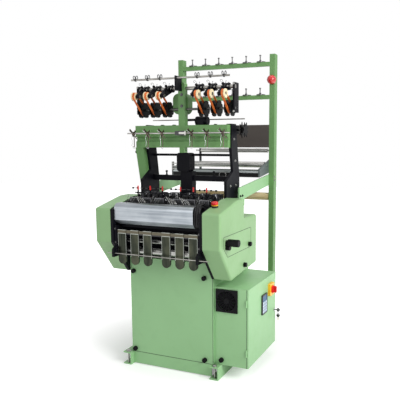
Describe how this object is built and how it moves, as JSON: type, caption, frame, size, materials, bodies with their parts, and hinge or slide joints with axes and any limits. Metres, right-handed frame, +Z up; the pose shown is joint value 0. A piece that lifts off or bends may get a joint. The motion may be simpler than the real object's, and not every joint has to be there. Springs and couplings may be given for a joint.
{
  "type": "power loom",
  "caption": "Narrow-fabric needle loom on a steel base, with weaving heads under a yarn feeder, a warp stand behind, a hand crank and a control cabinet at its side.",
  "frame": {"origin": "on the floor, at the centre of the four anchor holes of the base channels", "axes": "+Z up, +X towards the electrical cabinet (the weaver's right), +Y from the weaver towards the rear stand"},
  "size_m": [1.0333, 1.125, 2.117],
  "materials": {
    "green_paint": "satin light green paint",
    "black_paint": "semi-gloss black paint on cast plates",
    "bolt_steel": "zinc-plated steel",
    "polished_steel": "ground and polished steel",
    "heald_steel": "thin spring steel",
    "reed_steel": "steel wire and bar",
    "feeler_steel": "plated steel lever and wire",
    "cover_steel": "brushed stainless sheet",
    "plate_steel": "polished dark steel",
    "drum_plastic": "black moulded plastic",
    "cream_plastic": "cream moulded plastic",
    "orange_belt": "orange woven belt",
    "belt_rubber": "black V belt",
    "cable_rubber": "black cable sheath",
    "black_plastic": "black moulded plastic",
    "yellow_plastic": "yellow moulded plastic",
    "red_plastic": "red moulded plastic",
    "lamp_red": "red lamp lens",
    "lock_chrome": "chromed lock",
    "key_plastic": "black key head, brass blade",
    "pin_steel": "plated steel pin",
    "grey_panel": "dark grey paint",
    "dark_rubber": "dark rubber sleeve",
    "roller_wood": "clear-coated wood",
    "motor_grey": "grey motor"
  },
  "bodies": {
    "frame": {"base_frame": "green_paint", "body_frame": "green_paint", "front_panel": "green_paint", "side_cover_left": "green_paint", "side_cover_right": "green_paint", "access_hatch": "green_paint", "electrical_cabinet": "green_paint", "rear_stand": "green_paint", "post_braces": "green_paint", "front_beam": "green_paint", "feeder_mast": "green_paint", "weaving_frame": "black_paint", "support_frame": "black_paint", "roller_rails": "black_paint", "feeder_brackets": "black_paint", "weaving_heads": "black_paint", "levelling_bolts": "bolt_steel", "steel_rods": "polished_steel", "feeler_bar": "polished_steel", "breast_cover": "cover_steel", "tape_plates": "plate_steel", "feed_belts": "orange_belt", "drive_belt": "belt_rubber", "cable_bundle": "cable_rubber", "thumb_knobs": "black_plastic", "fan_grille": "black_plastic", "stop_button_base": "yellow_plastic", "red_clips": "red_plastic", "signal_lamp": "lamp_red", "yarn_pins": "pin_steel", "rear_panel": "grey_panel", "drive_motor": "motor_grey"},
    "door": {"cabinet_door": "green_paint", "switch_plate": "yellow_plastic", "control_panel": "black_plastic", "door_lock": "lock_chrome"},
    "switch": {"switch_handle": "red_plastic"},
    "key": {"door_key": "key_plastic"},
    "fan": {"fan_rotor": "black_plastic"},
    "main_shaft": {"main_shaft": "polished_steel", "hand_crank": "black_plastic"},
    "motor_rotor": {"motor_pulley": "motor_grey"},
    "feed_shaft": {"feed_drums": "drum_plastic"},
    "idler_shaft": {"idler_pulleys": "cream_plastic"},
    "star_shaft": {"star_wheel_shaft": "drum_plastic"},
    "sley": {"reed_sley": "reed_steel"},
    "needles": {"weft_needles": "reed_steel"},
    "healds_front": {"heald_frames_front": "heald_steel"},
    "healds_rear": {"heald_frames_rear": "heald_steel"},
    "take_off": {"take_off_roller": "polished_steel"},
    "steel_roller": {"steel_roller": "polished_steel"},
    "dark_roller": {"dark_roller": "dark_rubber"},
    "wooden_roller": {"wooden_roller": "roller_wood"},
    "stop_button": {"stop_button": "red_plastic"},
    "feeler_1": {"weft_feeler_1": "feeler_steel"},
    "feeler_2": {"weft_feeler_2": "feeler_steel"},
    "feeler_3": {"weft_feeler_3": "feeler_steel"},
    "feeler_4": {"weft_feeler_4": "feeler_steel"},
    "feeler_5": {"weft_feeler_5": "feeler_steel"},
    "feeler_6": {"weft_feeler_6": "feeler_steel"}
  },
  "joints": [
    {"name": "door_hinge", "type": "hinge", "parent": "frame", "child": "door", "pos_m": [0.519, -0.4303, 0.34], "axis": [0, 0, -1], "range_deg": [0, 110]},
    {"name": "main_switch", "type": "hinge", "parent": "door", "child": "switch", "pos_m": [0.5485, -0.0275, 0.497], "axis": [1, 0, 0], "range_deg": [0, 90]},
    {"name": "key_turn", "type": "hinge", "parent": "door", "child": "key", "pos_m": [0.5305, 0.0655, 0.325], "axis": [1, 0, 0], "range_deg": [0, 90]},
    {"name": "stop_press", "type": "slide", "parent": "frame", "child": "stop_button", "axis": [0, 0.2077, -0.9782], "range_m": [0, 0.004], "stiffness_N_per_m": 1500},
    {"name": "crank_turn", "type": "hinge", "parent": "frame", "child": "main_shaft", "pos_m": [0, -0.5425, 0.868], "axis": [1, 0, 0], "continuous": true},
    {"name": "motor_turn", "type": "hinge", "parent": "frame", "child": "motor_rotor", "pos_m": [-0.34, -0.2625, 0.83], "axis": [1, 0, 0], "continuous": true},
    {"name": "fan_turn", "type": "hinge", "parent": "frame", "child": "fan", "pos_m": [0.3875, -0.4075, 0.506], "axis": [0, 1, 0], "continuous": true},
    {"name": "feed_turn", "type": "hinge", "parent": "frame", "child": "feed_shaft", "pos_m": [0, -0.2125, 1.693], "axis": [1, 0, 0], "continuous": true},
    {"name": "idler_turn", "type": "hinge", "parent": "frame", "child": "idler_shaft", "pos_m": [0, -0.3105, 1.776], "axis": [1, 0, 0], "continuous": true},
    {"name": "star_turn", "type": "hinge", "parent": "frame", "child": "star_shaft", "pos_m": [0, -0.0825, 1.56], "axis": [1, 0, 0], "continuous": true},
    {"name": "sley_swing", "type": "hinge", "parent": "frame", "child": "sley", "pos_m": [0, -0.4525, 0.985], "axis": [1, 0, 0], "range_deg": [-8, 8]},
    {"name": "needle_swing", "type": "hinge", "parent": "frame", "child": "needles", "pos_m": [0, -0.4205, 0.985], "axis": [1, 0, 0], "range_deg": [-10, 18]},
    {"name": "heald_front_lift", "type": "slide", "parent": "frame", "child": "healds_front", "axis": [0, 0, 1], "range_m": [-0.02, 0.02]},
    {"name": "heald_rear_lift", "type": "slide", "parent": "frame", "child": "healds_rear", "axis": [0, 0, 1], "range_m": [-0.02, 0.02]},
    {"name": "take_off_turn", "type": "hinge", "parent": "frame", "child": "take_off", "pos_m": [0, -0.4725, 0.79], "axis": [1, 0, 0], "continuous": true},
    {"name": "steel_roller_turn", "type": "hinge", "parent": "frame", "child": "steel_roller", "pos_m": [0, 0.4525, 1.42], "axis": [1, 0, 0], "continuous": true},
    {"name": "dark_roller_turn", "type": "hinge", "parent": "frame", "child": "dark_roller", "pos_m": [0, 0.3795, 1.316], "axis": [1, 0, 0], "continuous": true},
    {"name": "wooden_roller_turn", "type": "hinge", "parent": "frame", "child": "wooden_roller", "pos_m": [0, 0.4525, 1.075], "axis": [1, 0, 0], "continuous": true},
    {"name": "feeler_1_swing", "type": "hinge", "parent": "frame", "child": "feeler_1", "pos_m": [0, -0.2825, 1.538], "axis": [-1, 0, 0], "range_deg": [0, 35]},
    {"name": "feeler_2_swing", "type": "hinge", "parent": "frame", "child": "feeler_2", "pos_m": [0, -0.2825, 1.538], "axis": [-1, 0, 0], "range_deg": [0, 35]},
    {"name": "feeler_3_swing", "type": "hinge", "parent": "frame", "child": "feeler_3", "pos_m": [0, -0.2825, 1.538], "axis": [-1, 0, 0], "range_deg": [0, 35]},
    {"name": "feeler_4_swing", "type": "hinge", "parent": "frame", "child": "feeler_4", "pos_m": [0, -0.2825, 1.538], "axis": [-1, 0, 0], "range_deg": [0, 35]},
    {"name": "feeler_5_swing", "type": "hinge", "parent": "frame", "child": "feeler_5", "pos_m": [0, -0.2825, 1.538], "axis": [-1, 0, 0], "range_deg": [0, 35]},
    {"name": "feeler_6_swing", "type": "hinge", "parent": "frame", "child": "feeler_6", "pos_m": [0, -0.2825, 1.538], "axis": [-1, 0, 0], "range_deg": [0, 35]}
  ],
  "couplings": [
    {"joint": "motor_turn", "follows": "crank_turn", "ratio": 1.6452},
    {"joint": "idler_turn", "follows": "feed_turn", "ratio": 1.3043},
    {"joint": "heald_rear_lift", "follows": "heald_front_lift", "ratio": -1}
  ]
}
